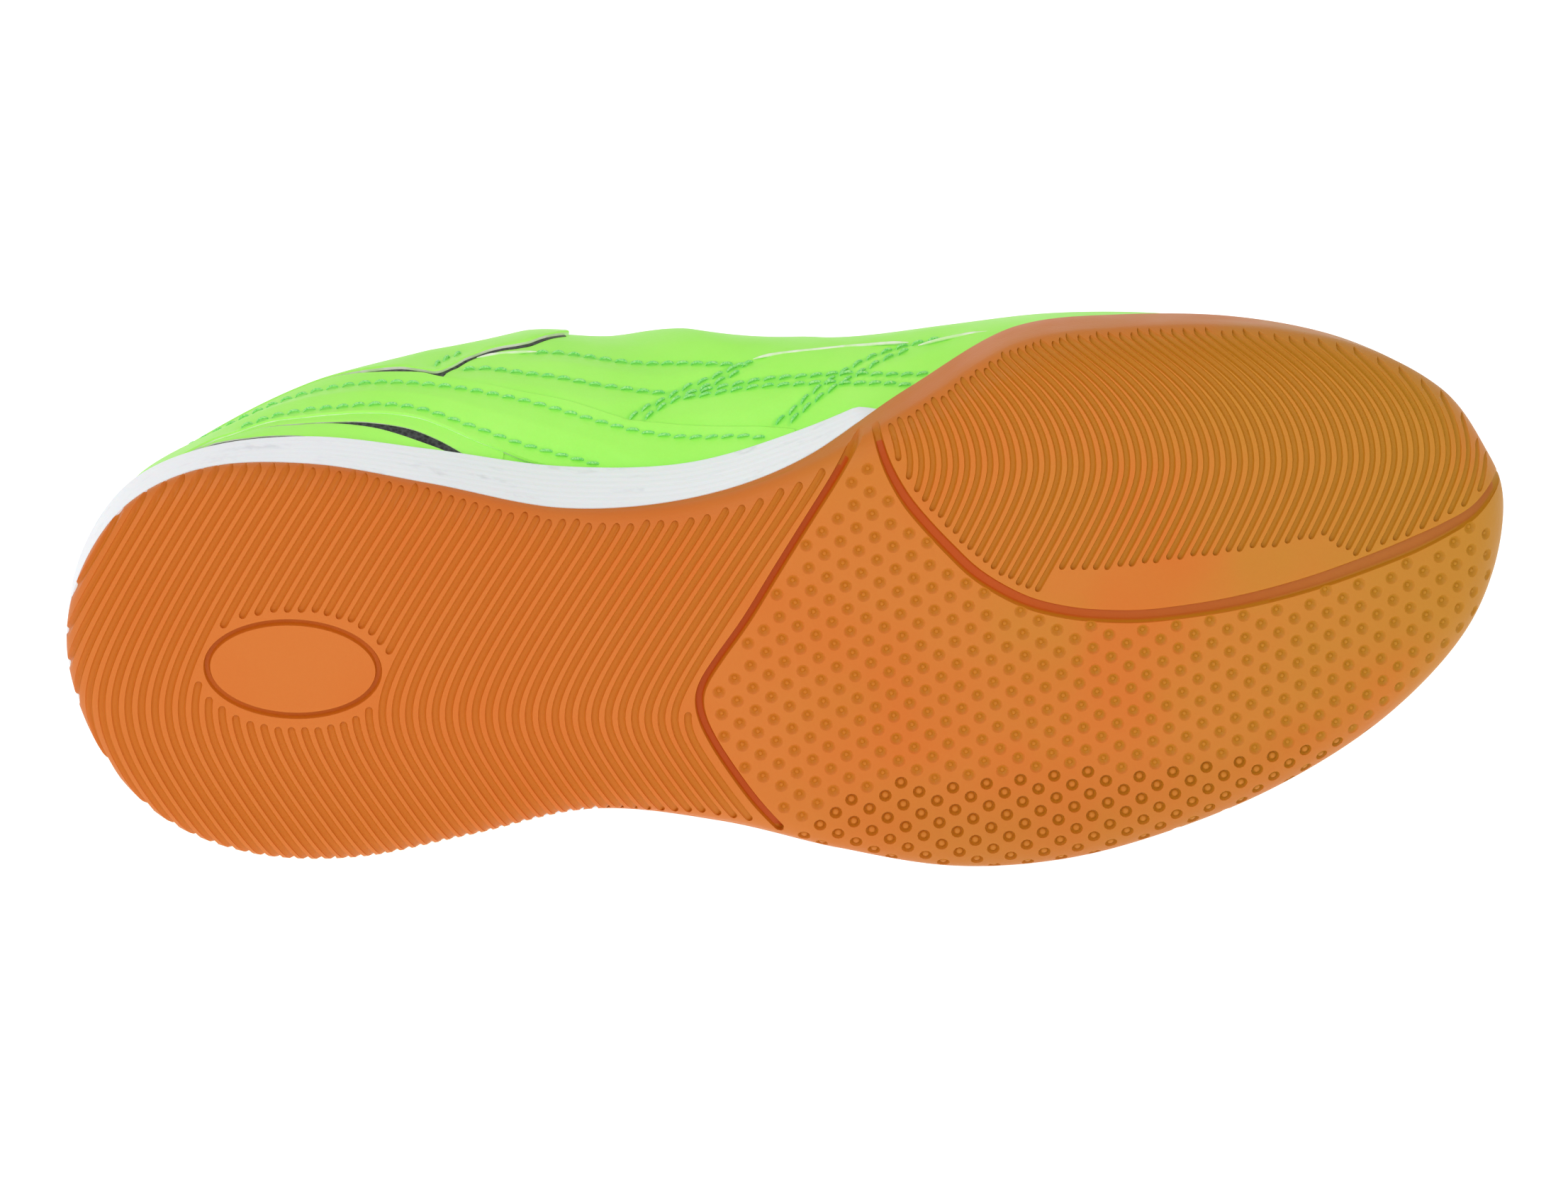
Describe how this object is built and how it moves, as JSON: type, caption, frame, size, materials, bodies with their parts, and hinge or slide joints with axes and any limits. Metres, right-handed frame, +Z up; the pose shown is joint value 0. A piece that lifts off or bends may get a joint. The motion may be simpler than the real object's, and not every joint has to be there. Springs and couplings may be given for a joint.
{
  "type": "indoor soccer shoe",
  "caption": "Low-cut lace-up indoor soccer shoe for the left foot, with a ribbed flat gum sole, a white side wall and a hollow synthetic upper, lying on its outer side.",
  "frame": {"origin": "bottom centre of the bounding box, on the floor that the shoe lies on", "axes": "+X towards the toe, +Z up from the floor, the sole facing -Y"},
  "size_m": [0.276, 0.119, 0.1037],
  "materials": {
    "gum": "translucent gum rubber, satin",
    "white_foam": "white moulded foam, faintly ribbed",
    "green_synthetic": "bright green smooth synthetic leather",
    "black_grain": "black grained synthetic leather",
    "black_lining": "black knitted lining",
    "green_lace": "bright green flat woven lace"
  },
  "bodies": {
    "root": {"outsole": "gum", "midsole": "white_foam", "insole": "black_lining", "upper": "green_synthetic", "eyestay": "green_synthetic", "heel_counter": "green_synthetic", "quarter_inlay": "black_grain", "collar_pad": "black_lining", "tongue": "black_lining", "lace": "green_lace"}
  },
  "joints": []
}
